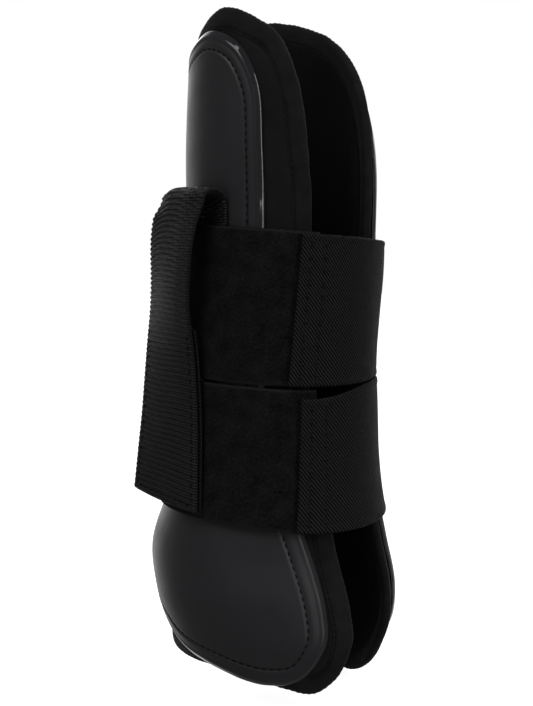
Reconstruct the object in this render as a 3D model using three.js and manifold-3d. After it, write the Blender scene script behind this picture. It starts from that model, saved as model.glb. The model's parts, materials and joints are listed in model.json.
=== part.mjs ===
// Horse tendon boot: an open-front leg guard with a moulded shell, a neoprene lining, two elastic
// hook-and-loop straps and a webbing flap that locks both straps.
// Millimetres, +Z up. The leg's axis is Z, the boot's back (the tendon) faces +Y, the open front faces -Y,
// and the outer side of the leg, which carries the lock flap, faces -X.
import * as THREE from "three";
import { mergeVertices } from "three/addons/utils/BufferGeometryUtils.js";
import Module from "manifold-3d";

const wasm = await Module();
wasm.setup();

// ---- Driving dimensions ------------------------------------------------------------------------------

const GAP = 0.3; // between pieces that touch
const HOOK_GAP = 0.4; // between a tab and the hook patch under it
const SHELL_GAP = 0.5; // between the lining and the shell
const LINING_THICKNESS = 4;
const SHELL_THICKNESS = 2;
const BINDING_WIDTH = 9;
const BINDING_CLOTH = 0.6;
const PAD_DEPTH = 3; // how far the strike pad lifts the shell
const PAD_EDGE = 0.4; // the pad's thickness where it thins out
const ELASTIC_THICKNESS = 1.6;
const TAB_THICKNESS = 1.6; // the loop-faced end of a strap
const PATCH_THICKNESS = 1.4; // hook patch under a strap's end
const WEBBING_WIDTH = 36;
const WEBBING_THICKNESS = 1.6;
const HOOK_TAPE_THICKNESS = 1.2;
const HOOK_TAPE_WIDTH = 37.5;

// Angles are in degrees about the leg's axis, from the back: positive to the outer side (-X).
// A strap's edges are heights at angles.
const UPPER_STRAP = {
  low: [[50, 134], [110, 131.5], [165, 129.5], [215, 130.6], [285, 134]],
  high: [[50, 195.5], [110, 192.7], [165, 190], [215, 187], [285, 187]],
  elasticDrop: 0.8, seam: 152, seamLean: 6,
};
const LOWER_STRAP = {
  low: [[50, 80], [110, 76], [165, 71.5], [215, 73], [285, 78]],
  high: [[50, 131.5], [110, 130], [165, 128], [215, 130], [285, 132]],
  elasticDrop: 3.5, seam: 156, seamLean: 0,
};
const TAB_END = 50; // the free end of each strap
const TAB_ROOT = 165; // the tab's other end, sewn under the elastic
const TAB_HINGE = 170; // where the elastic bends when a tab is peeled
const STRAP_HINGE = 258; // where the elastic leaves its sewn end
const ANCHOR_END = 282; // the sewn end's edge
const ELASTIC_NARROW = 160; // up to this the elastic is narrower than the tab
const ELASTIC_LEVEL = 203; // beyond this it is as wide as the strap
const ELASTIC_ON_SHELL = 236; // beyond this the elastic lies at the shell's level
const PATCH_START = 57;
const PATCH_END = 100;
const UPPER_PATCH = { bottom: 137, top: 173 };
const LOWER_PATCH = { bottom: 83, top: 126 };
const FLAP_HINGE = { angle: 86, height: 203 };
const FLAP_BOTTOM = 82;
const ANCHOR_BOTTOM = 176; // the lower end of the webbing sewn to the shell
const HOOK_TAPE_TOP = 152;

// Heights and the matching radius of the lining's inner face, and how far its centre lies towards the back.
const LINING_RADIUS = [
  [0, 33.5], [15, 37.8], [28, 41.8], [44, 44.2], [62, 43.1], [90, 35.9],
  [128, 32.1], [160, 32.2], [190, 32.8], [220, 33.5], [250, 32.6], [282, 30.6],
];
const BACKSET = [[0, 0], [26, 0.8], [42, 4.8], [62, 9.5], [90, 5.5], [128, 2.5], [190, 0.8], [282, 0]];
// The angle beyond which the front edges run straighter than the leg, and how much of the curve they keep.
const STRAIGHT_FROM = [[0, 158], [70, 158], [180, 124], [282, 124]];
const CURVE_KEPT = [[0, 0.7], [40, 0.75], [62, 1], [194, 1], [226, 0.45], [282, 0.35]];

// Outlines as angle and height, counter-clockwise seen from outside, from the back of the lower edge.
const LINING_OUTLINE = [
  [0, 27], [30, 26], [56, 18], [76, 15.5], [103, 15.2], [128, 12.2], [146, 8.2], [163, 5.4],
  [178, 11.5], [184, 26], [182.5, 46], [180, 66], [173, 94], [165, 125], [164, 165], [163, 215],
  [158, 245], [144, 266], [123, 275], [99, 279], [76, 273], [55, 266], [34, 265.5], [10, 272],
  [-18, 280], [-45, 279.5], [-72, 273.5], [-92, 263], [-110, 246], [-123, 219], [-128, 180],
  [-127, 120], [-129, 85], [-133, 60], [-133, 38], [-121, 12.5], [-98, 1.3], [-72, 1.3], [-45, 8.5],
  [-20, 18],
];
const SHELL_OUTLINE = [
  [0, 35], [30, 36.5], [60, 31], [80, 22], [105, 16], [135, 10.5], [155, 13], [167, 27], [168, 46],
  [164, 65], [151, 90], [137, 120], [134, 160], [134, 222], [130.5, 248], [116, 264], [93, 270], [70, 266],
  [50, 261], [32, 261], [10, 266.5], [-18, 273.5], [-45, 273], [-70, 268], [-88, 258],
  [-105, 243], [-118, 218], [-123.5, 180], [-122.5, 120], [-124.5, 85], [-127, 62], [-126, 42],
  [-114, 20], [-98, 9.5], [-72, 9], [-45, 17.5], [-20, 29],
];
const PAD_SIDES = [24, 56]; // the angles between which the shell comes down from the pad
const PAD_LOWER_END = [34, 84]; // the same for heights
const PAD_UPPER_END = [204, 254];
const PAD_OUTLINE = [[0, 52], [28, 60], [38, 90], [38, 200], [28, 228], [0, 236], [-28, 228], [-38, 200],
  [-38, 90], [-28, 60]];

const SHEET_RADIUS = 40; // turns an angle into a length where a sheet is cut flat
const GRID = { across: 8, up: 10 }; // the flat sheet's squares
const SHEET_SIZE = { across: 260, up: 310, below: 10 }; // the flat sheet, and how far it starts too low
const SHEET_SCALE = 10; // how thick a flat sheet of thickness 1 is while it is cut
const CUTTER = { depth: 400, start: -50 }; // the prisms that cut it reach well past both faces
const RAD = Math.PI / 180;

// ---- The leg-shaped surface that every layer follows -------------------------------------------------

// A smooth curve through [place, value] points, level beyond its ends.
function profile(points) {
  const slope = (i) => {
    const a = points[Math.max(i - 1, 0)];
    const b = points[Math.min(i + 1, points.length - 1)];
    return (b[1] - a[1]) / (b[0] - a[0]);
  };
  return (place) => {
    if (place <= points[0][0]) return points[0][1];
    if (place >= points.at(-1)[0]) return points.at(-1)[1];
    const i = points.findIndex((p, n) => place < points[n + 1][0]);
    const [from, to] = [points[i], points[i + 1]];
    const span = to[0] - from[0];
    const t = (place - from[0]) / span;
    const rise = to[1] - from[1];
    const [startSlope, endSlope] = [slope(i) * span, slope(i + 1) * span];
    return from[1] + t * startSlope + t * t * (3 * rise - 2 * startSlope - endSlope) +
      t ** 3 * (startSlope + endSlope - 2 * rise);
  };
}

const liningRadius = profile(LINING_RADIUS);
const backset = profile(BACKSET);
const straightFrom = profile(STRAIGHT_FROM);
const curveKept = profile(CURVE_KEPT);

// The outward normal at an angle.
function normalAt(angle) {
  return new THREE.Vector3(-Math.sin(angle * RAD), Math.cos(angle * RAD), 0);
}

// The level direction along the surface, towards larger angles.
function tangentAt(angle) {
  return new THREE.Vector3(-Math.cos(angle * RAD), -Math.sin(angle * RAD), 0);
}

// A point a distance outside the lining's inner face, where the layers close round the leg.
function roundPoint(angle, height, offset) {
  return normalAt(angle)
    .multiplyScalar(liningRadius(height) + offset)
    .add(new THREE.Vector3(0, backset(height), height));
}

// The same on the shell and lining, whose front edges run straighter than the leg.
function bootPoint(angle, height, offset) {
  const start = straightFrom(height);
  const past = Math.abs(angle) - start;
  if (past <= 0) return roundPoint(angle, height, offset);
  const side = Math.sign(angle);
  const kept = curveKept(height);
  const wide = liningRadius(height) / kept;
  const turn = past * RAD * kept;
  return roundPoint(side * start, height, 0)
    .addScaledVector(tangentAt(side * start), side * wide * Math.sin(turn))
    .addScaledVector(normalAt(side * start), -wide * (1 - Math.cos(turn)))
    .addScaledVector(normalAt(side * (start + past * kept)), offset);
}

// 0 to 1 as a value goes from one limit to another.
const fade = (value, from, to) => THREE.MathUtils.smoothstep((value - from) / (to - from), 0, 1);

// How far the strike pad lifts the shell.
function padLift(angle, height) {
  const across = 1 - fade(Math.abs(angle), ...PAD_SIDES);
  const up = fade(height, ...PAD_LOWER_END) * (1 - fade(height, ...PAD_UPPER_END));
  return PAD_DEPTH * across * up;
}

const shellInner = (angle, height) => LINING_THICKNESS + SHELL_GAP + padLift(angle, height);
const shellOuter = (angle, height) => shellInner(angle, height) + SHELL_THICKNESS;
// A layer on the shell, away from the pad.
const ON_SHELL = LINING_THICKNESS + SHELL_GAP + SHELL_THICKNESS + GAP;

// ---- Making solids ------------------------------------------------------------------------------------

// A closed box of points: columns by rows, on a low and a high side. place(u, v, t) gives each point.
function gridSolid(columns, rows, place) {
  const points = [];
  const faces = [];
  const at = (i, j, side) => (i * (rows + 1) + j) * 2 + side;
  for (let i = 0; i <= columns; i++)
    for (let j = 0; j <= rows; j++)
      for (const side of [0, 1]) points.push(place(i / columns, j / rows, side));
  const quad = (a, b, c, d) => faces.push(a, b, c, a, c, d);
  for (let i = 0; i < columns; i++)
    for (let j = 0; j < rows; j++) {
      quad(at(i, j, 1), at(i + 1, j, 1), at(i + 1, j + 1, 1), at(i, j + 1, 1));
      quad(at(i, j, 0), at(i, j + 1, 0), at(i + 1, j + 1, 0), at(i + 1, j, 0));
    }
  for (let i = 0; i < columns; i++) {
    quad(at(i, 0, 0), at(i + 1, 0, 0), at(i + 1, 0, 1), at(i, 0, 1));
    quad(at(i, rows, 1), at(i + 1, rows, 1), at(i + 1, rows, 0), at(i, rows, 0));
  }
  for (let j = 0; j < rows; j++) {
    quad(at(0, j, 0), at(0, j, 1), at(0, j + 1, 1), at(0, j + 1, 0));
    quad(at(columns, j, 1), at(columns, j, 0), at(columns, j + 1, 0), at(columns, j + 1, 1));
  }
  return new THREE.BufferGeometry().setFromPoints(points).setIndex(faces);
}

function manifoldOf(geometry) {
  const bare = geometry.clone();
  bare.deleteAttribute("normal");
  bare.deleteAttribute("uv");
  const merged = mergeVertices(bare, 1e-4);
  return new wasm.Manifold(new wasm.Mesh({
    numProp: 3,
    vertProperties: merged.attributes.position.array,
    triVerts: new Uint32Array(merged.index.array),
  }));
}

// While it is cut, a flat sheet is dished a little, so that its squares aren't merged into one big face.
const dish = (across, up) => (across ** 2) / 400 + (up ** 2) / 900;

// A flat sheet from one share of the thickness to another, larger than any outline.
function flatSheet(low, high) {
  const columns = Math.ceil(SHEET_SIZE.across / GRID.across);
  const rows = Math.ceil(SHEET_SIZE.up / GRID.up);
  return manifoldOf(gridSolid(columns, rows, (u, v, side) => {
    const across = (u * columns - columns / 2) * GRID.across;
    const up = v * rows * GRID.up - SHEET_SIZE.below;
    return new THREE.Vector3(across, up, (side ? high : low) * SHEET_SCALE + dish(across, up));
  }));
}

// The closed smooth curve through an outline's points, moved inwards by a distance, as a flat prism.
function prism(outline, inset) {
  const flat = outline.map(([angle, height]) => new THREE.Vector3(angle * RAD * SHEET_RADIUS, height, 0));
  const curve = new THREE.CatmullRomCurve3(flat, true, "centripetal");
  const steps = outline.length * 3;
  const edge = [];
  for (let i = 0; i < steps; i++) {
    const point = curve.getPoint(i / steps);
    const along = curve.getTangent(i / steps);
    edge.push(new THREE.Vector2(point.x - along.y * inset, point.y + along.x * inset));
  }
  const solid = new THREE.ExtrudeGeometry(new THREE.Shape(edge),
    { depth: CUTTER.depth, bevelEnabled: false });
  return manifoldOf(solid.translate(0, 0, CUTTER.start));
}

// Bends a cut flat sheet onto the boot. inner and outer give the offsets of its two faces.
function bend(solid, inner, outer) {
  const mesh = solid.getMesh();
  const points = [];
  for (let i = 0; i < mesh.vertProperties.length; i += 3) {
    const [across, up, depth] = mesh.vertProperties.slice(i, i + 3);
    const share = (depth - dish(across, up)) / SHEET_SCALE;
    const angle = across / SHEET_RADIUS / RAD;
    const low = inner(angle, up);
    points.push(bootPoint(angle, up, low + share * (outer(angle, up) - low)));
  }
  return new THREE.BufferGeometry().setFromPoints(points).setIndex([...mesh.triVerts]);
}

// ---- Pieces sewn into the boot ------------------------------------------------------------------------

const BINDING_SHARE = (BINDING_CLOTH + GAP) / LINING_THICKNESS; // of the lining's thickness, on each face

function liningGeometry() {
  const middle = flatSheet(0, 1).intersect(prism(LINING_OUTLINE, BINDING_WIDTH + GAP));
  const edge = flatSheet(BINDING_SHARE, 1 - BINDING_SHARE)
    .intersect(prism(LINING_OUTLINE, BINDING_CLOTH + GAP));
  return bend(middle.add(edge), () => 0, () => LINING_THICKNESS);
}

function bindingGeometry() {
  const cloth = BINDING_CLOTH / LINING_THICKNESS;
  const band = flatSheet(0, 1).intersect(prism(LINING_OUTLINE, 0))
    .subtract(prism(LINING_OUTLINE, BINDING_WIDTH));
  const groove = flatSheet(cloth, 1 - cloth).intersect(prism(LINING_OUTLINE, BINDING_CLOTH));
  return bend(band.subtract(groove), () => 0, () => LINING_THICKNESS);
}

function shellGeometry() {
  return bend(flatSheet(0, 1).intersect(prism(SHELL_OUTLINE, 0)), shellInner, shellOuter);
}

function padGeometry() {
  const bottom = LINING_THICKNESS + GAP;
  return bend(flatSheet(0, 1).intersect(prism(PAD_OUTLINE, 0)), () => bottom,
    (angle, height) => Math.max(shellInner(angle, height) - SHELL_GAP - GAP, bottom + PAD_EDGE));
}

// A band round the leg between two angles. low, high give its edges' heights and inner its inner face.
function bandGeometry({ from, to, low, high, inner, thickness, step = 7, rows = 6 }) {
  const columns = Math.max(1, Math.round(Math.abs(to - from) / step));
  return gridSolid(columns, rows, (u, v, side) => {
    const angle = from + (to - from) * u;
    const height = THREE.MathUtils.lerp(low(angle), high(angle), v);
    return roundPoint(angle, height, inner(angle) + side * thickness);
  });
}

const TAB_INNER = ON_SHELL + PATCH_THICKNESS + HOOK_GAP;
const LAP_INNER = TAB_INNER + TAB_THICKNESS + GAP;

// The elastic's inner face: on the far side's shell at its sewn end, over the tab at its other end.
const elasticInner = (angle) =>
  THREE.MathUtils.lerp(LAP_INNER, ON_SHELL, fade(angle, TAB_HINGE, ELASTIC_ON_SHELL));

const strapEdges = (strap) => ({ low: profile(strap.low), high: profile(strap.high) });

// The elastic is stretched narrower than the tab.
function elasticEdges(strap) {
  const { low, high } = strapEdges(strap);
  const drop = (angle) => strap.elasticDrop * (1 - fade(angle, ELASTIC_NARROW, ELASTIC_LEVEL));
  return { low, high: (angle) => high(angle) - drop(angle) };
}

function elasticAnchorGeometry(strap) {
  return bandGeometry({
    ...strapEdges(strap), from: STRAP_HINGE + 0.5, to: ANCHOR_END,
    inner: elasticInner, thickness: ELASTIC_THICKNESS,
  });
}

function elasticGeometry(strap) {
  const { low, high } = elasticEdges(strap);
  return bandGeometry({
    low, high, from: TAB_HINGE + 0.3, to: STRAP_HINGE - 0.1, inner: elasticInner,
    thickness: ELASTIC_THICKNESS,
  });
}

// The elastic's hemmed end, which lies on the tab. Its edge leans.
function elasticEndGeometry(strap) {
  const { low, high } = elasticEdges(strap);
  return gridSolid(4, 6, (u, v, side) => {
    const start = strap.seam + strap.seamLean * (v - 0.5);
    const angle = THREE.MathUtils.lerp(start, TAB_HINGE - 0.1, u);
    const height = THREE.MathUtils.lerp(low(angle), high(angle), v);
    return roundPoint(angle, height, LAP_INNER + side * ELASTIC_THICKNESS);
  });
}

function tabGeometry(strap) {
  return bandGeometry({
    ...strapEdges(strap), from: TAB_END, to: TAB_ROOT, inner: () => TAB_INNER, thickness: TAB_THICKNESS,
  });
}

function patchGeometry({ bottom, top }) {
  return bandGeometry({
    from: PATCH_START, to: PATCH_END, low: () => bottom, high: () => top, inner: () => ON_SHELL,
    thickness: PATCH_THICKNESS, rows: 4,
  });
}

function flapAnchorGeometry() {
  const half = WEBBING_WIDTH / 2 / (liningRadius(FLAP_HINGE.height) + ON_SHELL) / RAD;
  return bandGeometry({
    from: FLAP_HINGE.angle - half, to: FLAP_HINGE.angle + half, low: () => ANCHOR_BOTTOM,
    high: () => FLAP_HINGE.height - GAP, inner: () => ON_SHELL, thickness: WEBBING_THICKNESS, rows: 3,
  });
}

// ---- The lock flap --------------------------------------------------------------------------------------

// Height, then the distance from that centre, the angle and the facing of the webbing's middle.
const FLAP_DISTANCE = profile([
  [80, 54.9], [98, 52.7], [117, 50.8], [141, 50], [164, 51.3], [186, 51.1], [203, 49.1],
]);
const FLAP_ANGLE = profile([[80, 82.6], [117, 77], [141, 75], [162, 78.5], [203, 86]]);
const FLAP_FACING = profile([[80, 103], [117, 96], [141, 90], [162, 82.5], [186, 82], [203, 86]]);
const FLAP_TILT = profile([[80, 0.2], [150, 0.03], [203, 0]]);
const FLAP_CROWN = 110; // the radius of the webbing's curve across its width

// The centre of the lining's curve at the hinge, from which the flap's distances are measured.
const FLAP_ORIGIN = new THREE.Vector3(0, backset(FLAP_HINGE.height), 0);

// A point on the flap: along its width, at a height, and a distance outside its middle layer.
function flapPoint(across, height, offset) {
  const facing = FLAP_FACING(height);
  return normalAt(FLAP_ANGLE(height))
    .multiplyScalar(FLAP_DISTANCE(height))
    .add(FLAP_ORIGIN)
    .addScaledVector(tangentAt(facing), across)
    .addScaledVector(normalAt(facing), offset - across ** 2 / 2 / FLAP_CROWN)
    .add(new THREE.Vector3(0, 0, height - FLAP_TILT(height) * across));
}

function flapStripGeometry(width, bottom, top, inner, thickness, rows) {
  return gridSolid(4, rows, (u, v, side) => flapPoint(
    (u - 0.5) * width, THREE.MathUtils.lerp(bottom, top, v), inner + side * thickness));
}

const flapGeometry = () =>
  flapStripGeometry(WEBBING_WIDTH, FLAP_BOTTOM, FLAP_HINGE.height - GAP, -WEBBING_THICKNESS / 2,
    WEBBING_THICKNESS, 16);

const flapHookGeometry = () =>
  flapStripGeometry(HOOK_TAPE_WIDTH, FLAP_BOTTOM - 1, HOOK_TAPE_TOP,
    -WEBBING_THICKNESS / 2 - GAP - HOOK_TAPE_THICKNESS, HOOK_TAPE_THICKNESS, 10);

// The half-round fold of webbing from the sewn end over to the flap.
function flapFoldGeometry() {
  const { angle, height } = FLAP_HINGE;
  const start = liningRadius(height) + ON_SHELL + GAP / 2 + WEBBING_THICKNESS / 2;
  const end = FLAP_DISTANCE(height);
  const foldRadius = (end - start) / 2;
  const centre = normalAt(angle).multiplyScalar((start + end) / 2).add(FLAP_ORIGIN).setZ(height);
  return gridSolid(6, 8, (u, v, side) => {
    const across = (u - 0.5) * WEBBING_WIDTH;
    const turn = Math.PI * v;
    const reach = foldRadius + (side - 0.5) * WEBBING_THICKNESS;
    const sag = across ** 2 / 2 / THREE.MathUtils.lerp(FLAP_CROWN, start, v);
    return centre.clone()
      .addScaledVector(tangentAt(angle), across)
      .addScaledVector(normalAt(angle), Math.cos(turn) * reach - sag)
      .add(new THREE.Vector3(0, 0, Math.sin(turn) * reach));
  });
}

// ---- The boot -------------------------------------------------------------------------------------------

const cloth = (color) => new THREE.MeshStandardMaterial({ color, roughness: 0.95, metalness: 0 });
const LOOKS = {
  shell: new THREE.MeshStandardMaterial({ color: 0x232326, roughness: 0.5, metalness: 0 }),
  foam: cloth(0x3a3a3c),
  neoprene: cloth(0x121214),
  binding: cloth(0x151517),
  elastic: cloth(0x171718),
  loop: cloth(0x0f0f10),
  hook: new THREE.MeshStandardMaterial({ color: 0x0c0c0d, roughness: 0.7, metalness: 0 }),
  webbing: cloth(0x181718),
};

const boot = new THREE.Group();

function add(name, geometry, look) {
  const mesh = new THREE.Mesh(geometry, LOOKS[look]);
  mesh.name = name;
  boot.add(mesh);
}

add("neoprene_lining", liningGeometry(), "neoprene");
add("lining_binding", bindingGeometry(), "binding");
add("strike_pad", padGeometry(), "foam");
add("outer_shell", shellGeometry(), "shell");
add("upper_hook_patch", patchGeometry(UPPER_PATCH), "hook");
add("lower_hook_patch", patchGeometry(LOWER_PATCH), "hook");
add("flap_anchor", flapAnchorGeometry(), "webbing");
add("flap_fold", flapFoldGeometry(), "webbing");
add("lock_flap", flapGeometry(), "webbing");
add("lock_flap_hook_tape", flapHookGeometry(), "hook");
for (const [name, strap] of [["upper", UPPER_STRAP], ["lower", LOWER_STRAP]]) {
  add(`${name}_elastic_anchor`, elasticAnchorGeometry(strap), "elastic");
  add(`${name}_elastic`, elasticGeometry(strap), "elastic");
  add(`${name}_elastic_end`, elasticEndGeometry(strap), "elastic");
  add(`${name}_tab`, tabGeometry(strap), "loop");
}

export default boot;
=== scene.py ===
"""The horse tendon boot's visual model: fine meshes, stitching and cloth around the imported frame."""

import bisect
import json
import math
import random

import bmesh
import bpy
import numpy as np
from mathutils import Vector
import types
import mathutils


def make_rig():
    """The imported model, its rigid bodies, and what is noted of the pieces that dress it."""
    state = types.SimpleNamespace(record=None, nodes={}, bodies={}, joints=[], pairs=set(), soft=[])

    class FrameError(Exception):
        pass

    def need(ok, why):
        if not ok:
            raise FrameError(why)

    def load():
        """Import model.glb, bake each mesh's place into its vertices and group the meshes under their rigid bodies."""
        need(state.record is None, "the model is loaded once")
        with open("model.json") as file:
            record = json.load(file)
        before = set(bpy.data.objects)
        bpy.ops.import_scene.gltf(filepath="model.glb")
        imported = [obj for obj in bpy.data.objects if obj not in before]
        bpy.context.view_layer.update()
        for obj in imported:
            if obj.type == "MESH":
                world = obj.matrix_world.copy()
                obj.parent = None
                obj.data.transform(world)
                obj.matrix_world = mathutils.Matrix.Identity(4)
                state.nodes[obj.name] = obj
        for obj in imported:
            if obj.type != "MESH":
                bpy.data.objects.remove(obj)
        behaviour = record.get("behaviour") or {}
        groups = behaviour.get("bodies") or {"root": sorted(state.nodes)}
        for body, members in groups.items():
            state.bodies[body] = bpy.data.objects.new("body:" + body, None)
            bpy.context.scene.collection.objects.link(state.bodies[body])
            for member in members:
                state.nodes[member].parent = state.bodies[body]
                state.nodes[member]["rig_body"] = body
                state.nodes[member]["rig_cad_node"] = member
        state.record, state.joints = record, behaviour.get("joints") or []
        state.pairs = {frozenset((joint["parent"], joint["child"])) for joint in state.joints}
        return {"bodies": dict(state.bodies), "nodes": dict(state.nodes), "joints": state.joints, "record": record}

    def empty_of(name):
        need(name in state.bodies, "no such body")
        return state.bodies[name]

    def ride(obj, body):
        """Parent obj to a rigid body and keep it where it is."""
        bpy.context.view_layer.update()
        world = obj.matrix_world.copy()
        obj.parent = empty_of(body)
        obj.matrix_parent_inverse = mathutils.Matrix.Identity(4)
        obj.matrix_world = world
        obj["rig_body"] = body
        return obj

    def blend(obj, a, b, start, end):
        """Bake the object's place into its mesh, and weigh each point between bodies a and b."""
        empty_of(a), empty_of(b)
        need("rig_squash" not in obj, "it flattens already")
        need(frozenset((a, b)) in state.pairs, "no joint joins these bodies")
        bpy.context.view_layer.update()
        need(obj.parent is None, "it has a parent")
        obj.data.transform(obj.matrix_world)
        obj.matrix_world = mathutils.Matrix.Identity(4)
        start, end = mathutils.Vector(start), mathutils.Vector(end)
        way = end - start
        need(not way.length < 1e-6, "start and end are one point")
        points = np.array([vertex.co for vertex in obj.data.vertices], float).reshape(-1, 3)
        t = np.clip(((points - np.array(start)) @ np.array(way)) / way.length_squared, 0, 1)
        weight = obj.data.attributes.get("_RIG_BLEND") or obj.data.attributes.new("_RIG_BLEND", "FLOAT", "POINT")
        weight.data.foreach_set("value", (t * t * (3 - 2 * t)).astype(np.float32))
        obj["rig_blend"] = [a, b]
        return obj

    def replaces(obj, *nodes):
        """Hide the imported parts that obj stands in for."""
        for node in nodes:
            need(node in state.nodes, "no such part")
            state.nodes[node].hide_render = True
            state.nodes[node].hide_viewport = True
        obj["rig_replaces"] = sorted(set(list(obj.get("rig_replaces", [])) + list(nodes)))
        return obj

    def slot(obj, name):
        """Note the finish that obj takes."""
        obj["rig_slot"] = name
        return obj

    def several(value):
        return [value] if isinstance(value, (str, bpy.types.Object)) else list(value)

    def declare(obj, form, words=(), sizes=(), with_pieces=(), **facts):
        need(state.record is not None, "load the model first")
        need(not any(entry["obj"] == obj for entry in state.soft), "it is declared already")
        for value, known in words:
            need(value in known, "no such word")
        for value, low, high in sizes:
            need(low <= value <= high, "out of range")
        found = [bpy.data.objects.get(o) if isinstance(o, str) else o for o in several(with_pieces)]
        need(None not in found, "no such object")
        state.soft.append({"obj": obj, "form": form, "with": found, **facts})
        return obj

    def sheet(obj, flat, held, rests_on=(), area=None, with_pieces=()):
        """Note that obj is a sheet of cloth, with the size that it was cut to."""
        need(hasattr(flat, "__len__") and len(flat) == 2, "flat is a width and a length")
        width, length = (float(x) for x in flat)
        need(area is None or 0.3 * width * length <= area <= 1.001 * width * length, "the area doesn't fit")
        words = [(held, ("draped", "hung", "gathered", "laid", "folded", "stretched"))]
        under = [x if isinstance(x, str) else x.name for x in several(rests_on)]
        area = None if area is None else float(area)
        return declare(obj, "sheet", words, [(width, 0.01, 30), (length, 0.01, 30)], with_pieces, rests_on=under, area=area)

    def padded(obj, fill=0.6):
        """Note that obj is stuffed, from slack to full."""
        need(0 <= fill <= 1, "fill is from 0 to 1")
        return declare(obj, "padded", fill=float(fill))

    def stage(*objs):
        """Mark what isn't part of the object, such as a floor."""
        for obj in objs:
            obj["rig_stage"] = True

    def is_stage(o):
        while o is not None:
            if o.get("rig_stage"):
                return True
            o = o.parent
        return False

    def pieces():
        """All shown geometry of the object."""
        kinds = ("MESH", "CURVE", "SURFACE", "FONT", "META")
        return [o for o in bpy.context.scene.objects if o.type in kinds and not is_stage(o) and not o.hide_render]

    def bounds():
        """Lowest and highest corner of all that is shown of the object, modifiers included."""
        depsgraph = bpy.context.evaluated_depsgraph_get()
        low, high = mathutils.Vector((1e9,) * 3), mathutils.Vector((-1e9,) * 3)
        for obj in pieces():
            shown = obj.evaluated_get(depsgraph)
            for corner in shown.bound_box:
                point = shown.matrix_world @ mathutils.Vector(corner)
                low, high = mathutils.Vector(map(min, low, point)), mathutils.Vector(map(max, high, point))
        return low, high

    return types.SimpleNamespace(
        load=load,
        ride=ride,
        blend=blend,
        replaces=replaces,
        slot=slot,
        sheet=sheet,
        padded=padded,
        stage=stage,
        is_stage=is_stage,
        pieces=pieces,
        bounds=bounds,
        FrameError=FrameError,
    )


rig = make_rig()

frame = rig.load()
CAD_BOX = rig.bounds()

# Lengths are in millimetres and angles in degrees, as in the CAD, and become metres in each mesh.
MM = 0.001
RAD = math.pi / 180

GAP = 0.3
SHELL_GAP = 0.5
HOOK_GAP = 0.1  # more room between a tab and the hooks under it
LINING_THICKNESS = 4
SHELL_THICKNESS = 2
PAD_DEPTH = 3
PAD_SIDES = (24, 56)  # angles where the pad starts to thin, and ends
PAD_FOOT = (34, 84)  # heights where the pad begins, and is full
PAD_HEAD = (204, 254)
ELASTIC_THICKNESS = 1.6
TAB_THICKNESS = 1.6
PATCH_THICKNESS = 1.4
WEBBING_WIDTH = 36
HALF_WEBBING = WEBBING_WIDTH / 2
WEBBING_THICKNESS = 1.6
HOOK_TAPE_THICKNESS = 1.2
HOOK_TAPE_WIDTH = 37.5
SHEET_RADIUS = 40  # turns an angle into a length along a sheet
GRID_RELAXING = 1500  # rounds of evening out a grid
DEEP_INSIDE = 99  # stands for a point far from an outline
SPAN_STEPS = 40  # places worked out between two points of an outline

# A strap's edges are heights at angles; angles run from the back, positive to the outer side (-X).
UPPER_STRAP = {
    "low": [(50, 134), (110, 131), (165, 129.4), (215, 130.6), (285, 134)],
    "high": [(50, 195.5), (110, 192.7), (165, 190), (215, 187), (285, 187)],
    "drop": 0.8, "seam": 152, "lean": 6, "stand_off": 1.5,
}
LOWER_STRAP = {
    "low": [(50, 80), (110, 76), (165, 71.5), (215, 73), (285, 78)],
    "high": [(50, 131.5), (110, 130), (165, 128), (215, 130), (285, 132)],
    "drop": 3.5, "seam": 156, "lean": 0, "stand_off": 0.3,
}
STRAPS = {"upper": UPPER_STRAP, "lower": LOWER_STRAP}
TAB_END = 50
TAB_ROOT = 165
TAB_HINGE = 170
LAP_END = 236  # the angle beyond which the elastic lies on the shell
STRAP_MIDDLE = 214
ELASTIC_NARROW = 160
ELASTIC_LEVEL = 203
ANCHOR_END = 282
FLAP_HINGE_ANGLE = 86
FLAP_HINGE_HEIGHT = 203
FLAP_BOTTOM = 82
HOOK_TAPE_TOP = 152
ANCHOR_BOTTOM = 176
PATCHES = {"upper": (137, 173), "lower": (83, 126)}

LINING_OUTLINE = [
    (0, 27), (30, 26), (56, 18), (76, 15.5), (103, 15.2), (128, 12.2), (146, 8.2), (163, 5.4),
    (178, 11.5), (184, 26), (182.5, 46), (180, 66), (173, 94), (165, 125), (164, 165), (163, 215),
    (158, 245), (144, 266), (123, 275), (99, 279), (76, 273), (55, 266), (34, 265.5), (10, 272),
    (-18, 280), (-45, 279.5), (-72, 273.5), (-92, 263), (-110, 246), (-123, 219), (-128, 180), (-127, 120),
    (-129, 85), (-133, 60), (-133, 38), (-121, 12.5), (-98, 1.3), (-72, 1.3), (-45, 8.5), (-20, 18),
]
SHELL_OUTLINE = [
    (0, 35), (30, 36.5), (60, 31), (80, 22), (105, 16), (135, 10.5), (155, 13), (167, 27), (168, 46),
    (164, 65), (151, 90), (137, 120), (134, 160), (134, 222), (130.5, 248), (116, 264), (93, 270), (70, 266),
    (50, 261), (32, 261), (10, 266.5), (-18, 273.5), (-45, 273), (-70, 268), (-88, 258),
    (-105, 243), (-118, 218), (-123.5, 180), (-122.5, 120), (-124.5, 85), (-127, 62), (-126, 42),
    (-114, 20), (-98, 9.5), (-72, 9), (-45, 17.5), (-20, 29),
]
PAD_OUTLINE = [
    (0, 52), (28, 60), (38, 90), (38, 200), (28, 228), (0, 236), (-28, 228), (-38, 200), (-38, 90),
    (-28, 60),
]
# Where an outline's inner grid has its corners: outer bottom, outer top, inner top, inner bottom.
GRID_CORNERS = [(155, 18), (118, 258), (-96, 252), (-112, 18)]
PAD_CORNERS = [(33, 66), (33, 222), (-33, 222), (-33, 66)]


# ---- The leg-shaped surface ----

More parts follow.
